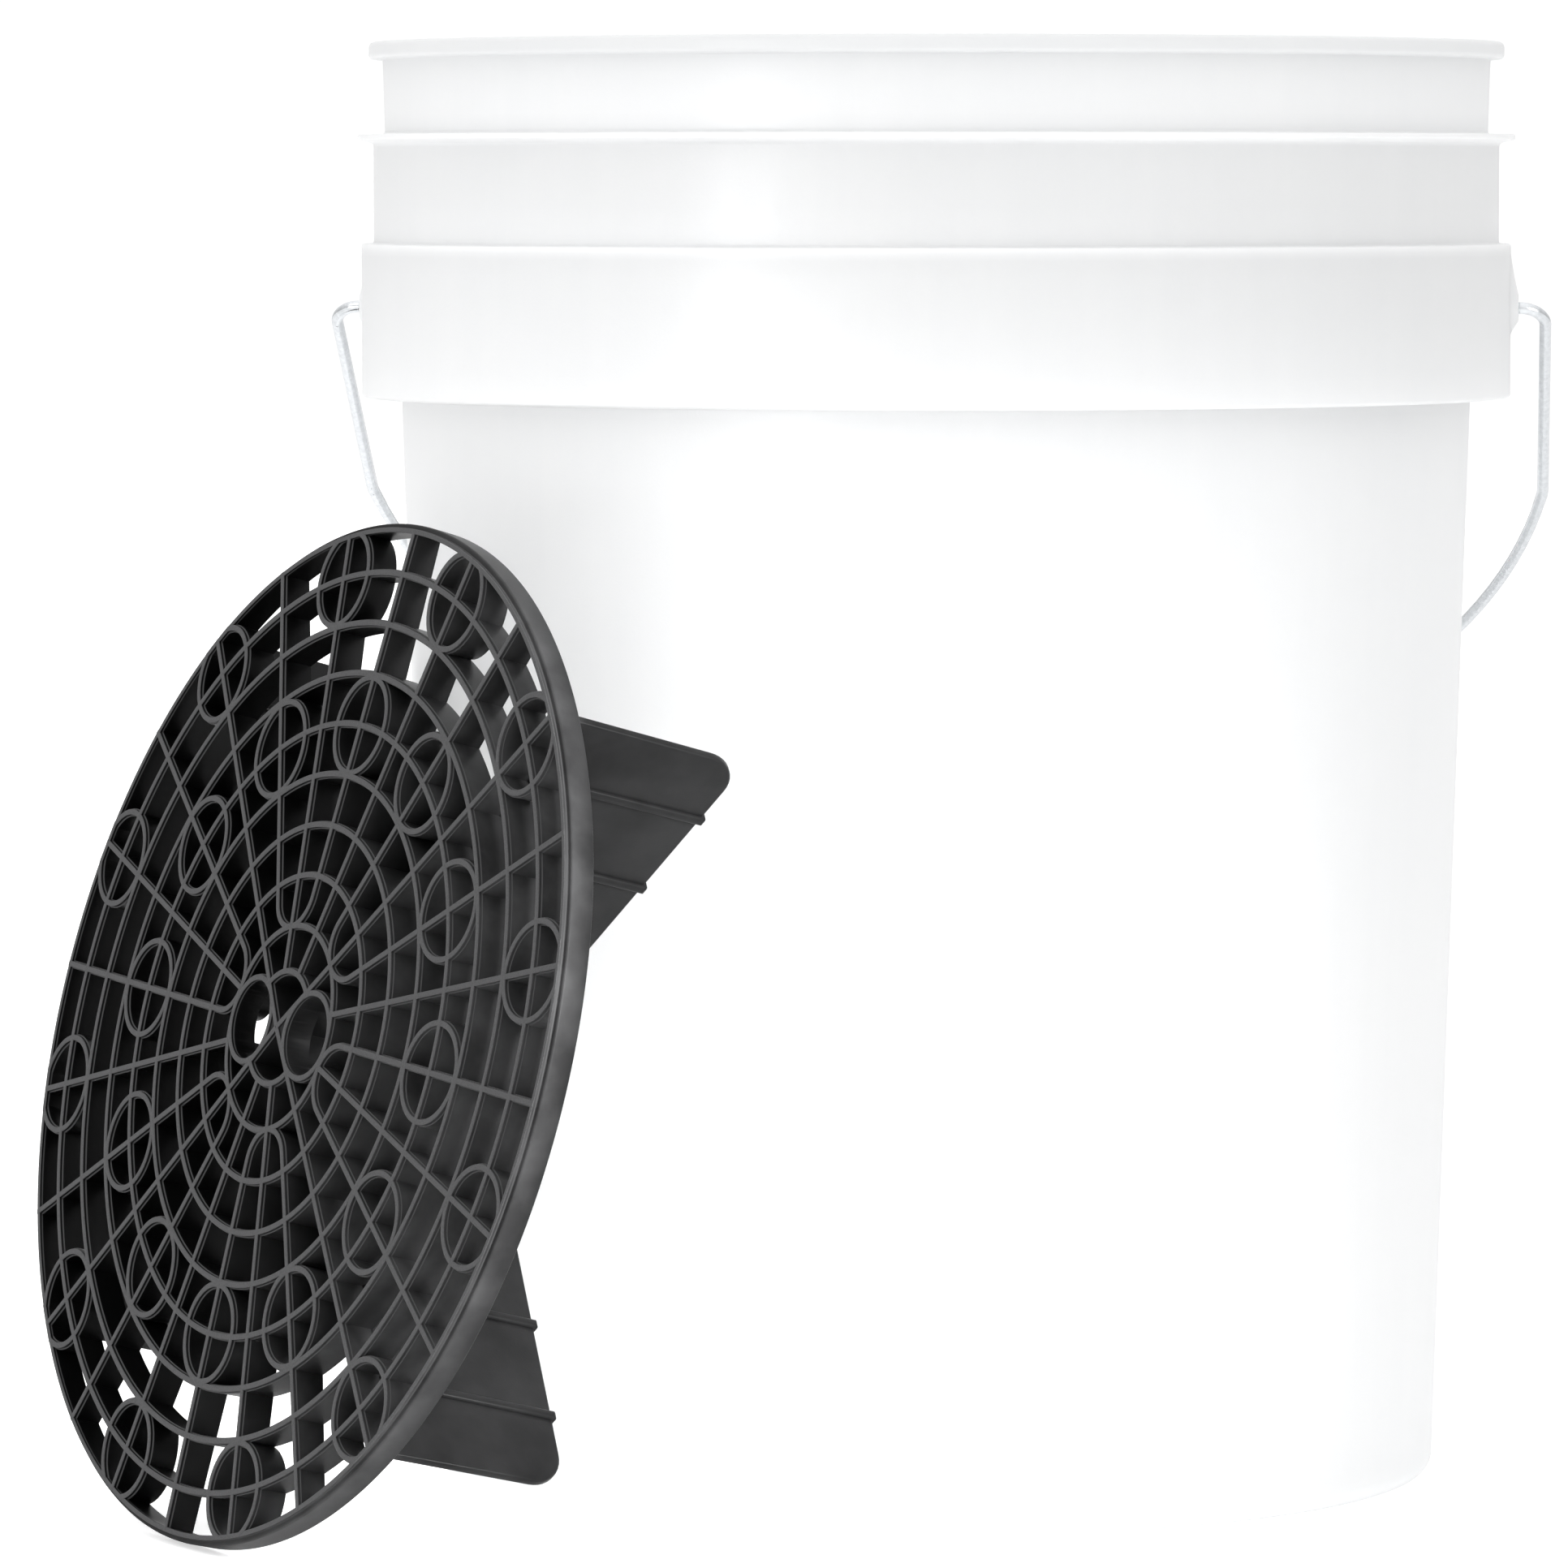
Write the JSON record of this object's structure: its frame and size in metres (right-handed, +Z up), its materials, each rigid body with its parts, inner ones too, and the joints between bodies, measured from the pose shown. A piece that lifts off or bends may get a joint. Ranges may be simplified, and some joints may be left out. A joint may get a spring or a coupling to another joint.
{
  "type": "wash bucket with grit guard",
  "caption": "Round tapered plastic wash bucket with a stepped collar, a swinging wire bail with a turning grip, and a ribbed grit guard leaning against its side.",
  "frame": {"origin": "centre of the pail's flat underside, on the surface it stands on", "axes": "+Z up along the pail's axis, +X towards the right ear of the bail (5 degrees from it), +Y towards the side where the bail rests"},
  "size_m": [0.3987, 0.4073, 0.3765],
  "materials": {
    "natural_plastic": "satin, slightly translucent",
    "zinc_wire": "bright zinc plate",
    "grip_plastic": "satin",
    "black_plastic": "satin"
  },
  "bodies": {
    "pail": {"pail_floor": "natural_plastic", "pail_wall": "natural_plastic", "pail_neck": "natural_plastic", "rim_bead": "natural_plastic", "band": "natural_plastic", "collar": "natural_plastic", "ear_right": "natural_plastic", "ear_left": "natural_plastic"},
    "bail": {"bail_wire": "zinc_wire"},
    "grip": {"bail_grip": "grip_plastic"},
    "guard": {"guard_rim": "black_plastic", "guard_grid": "black_plastic", "guard_hub": "black_plastic", "guard_fin_1": "black_plastic", "guard_fin_2": "black_plastic", "guard_fin_3": "black_plastic", "guard_fin_4": "black_plastic"}
  },
  "joints": [
    {"name": "bail_swing", "type": "hinge", "parent": "pail", "child": "bail", "pos_m": [0, 0, 0.307], "axis": [0.9962, -0.0872, 0], "range_deg": [0, 235]},
    {"name": "grip_turn", "type": "hinge", "parent": "bail", "child": "grip", "pos_m": [0.01293, 0.14773, 0.1758], "axis": [0.9962, -0.0872, 0], "continuous": true},
    {"name": "guard_away", "type": "slide", "parent": "pail", "child": "guard", "axis": [-0.852, -0.5235, 0], "range_m": [0, 0.25]}
  ]
}
